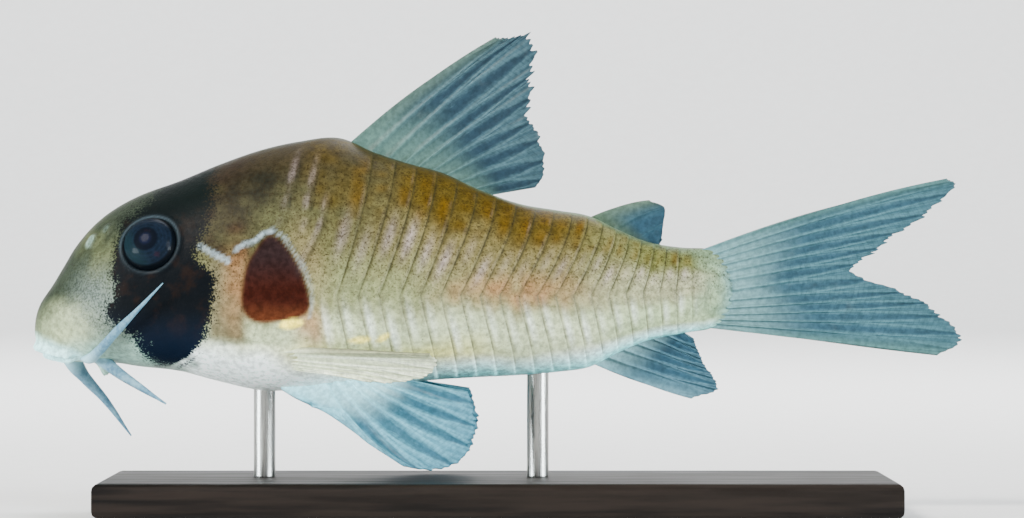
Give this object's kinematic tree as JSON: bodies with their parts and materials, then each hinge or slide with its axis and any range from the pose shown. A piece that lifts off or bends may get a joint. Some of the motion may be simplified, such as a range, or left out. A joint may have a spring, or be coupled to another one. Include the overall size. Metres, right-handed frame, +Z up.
{
  "type": "corydoras catfish",
  "caption": "Armoured bottom-dwelling catfish with dark eye mask, scuted flanks, forked tail and short barbels, as a still life-size model on a flat base with two rods",
  "frame": {"origin": "centre of the underside of the display base, which is also under the middle of the fish's length", "axes": "+Z up, the fish looks along -X with its left flank at -Y, +X runs to the tip of the tail"},
  "size_m": [0.0683, 0.024, 0.0354],
  "materials": {
    "head_skin": "moist olive skin with silver cheek, dark mask through the eye and a brick red gill patch",
    "scuted_skin": "golden olive back, pinkish flank and pale blue-white belly with dark seams between scutes",
    "fin_web": "thin slate-blue web with pale segmented rays",
    "barbel_skin": "soft translucent cream skin",
    "eye": "wet dark eye with a thin pale ring",
    "stand_base": "satin black stained wood",
    "stand_rod": "satin steel"
  },
  "bodies": {
    "root": {"head": "head_skin", "torso": "scuted_skin", "tail_stalk": "scuted_skin", "eye_right": "eye", "eye_left": "eye", "dorsal_fin": "fin_web", "adipose_fin": "fin_web", "anal_fin": "fin_web", "caudal_fin_upper": "fin_web", "caudal_fin_lower": "fin_web", "pelvic_fin_right": "fin_web", "pelvic_fin_left": "fin_web", "pectoral_fin_right": "fin_web", "pectoral_fin_left": "fin_web", "maxillary_barbel_right": "barbel_skin", "maxillary_barbel_left": "barbel_skin", "mental_barbel_right": "barbel_skin", "mental_barbel_left": "barbel_skin", "stand_base": "stand_base", "stand_rod_front": "stand_rod", "stand_rod_rear": "stand_rod"}
  },
  "joints": []
}
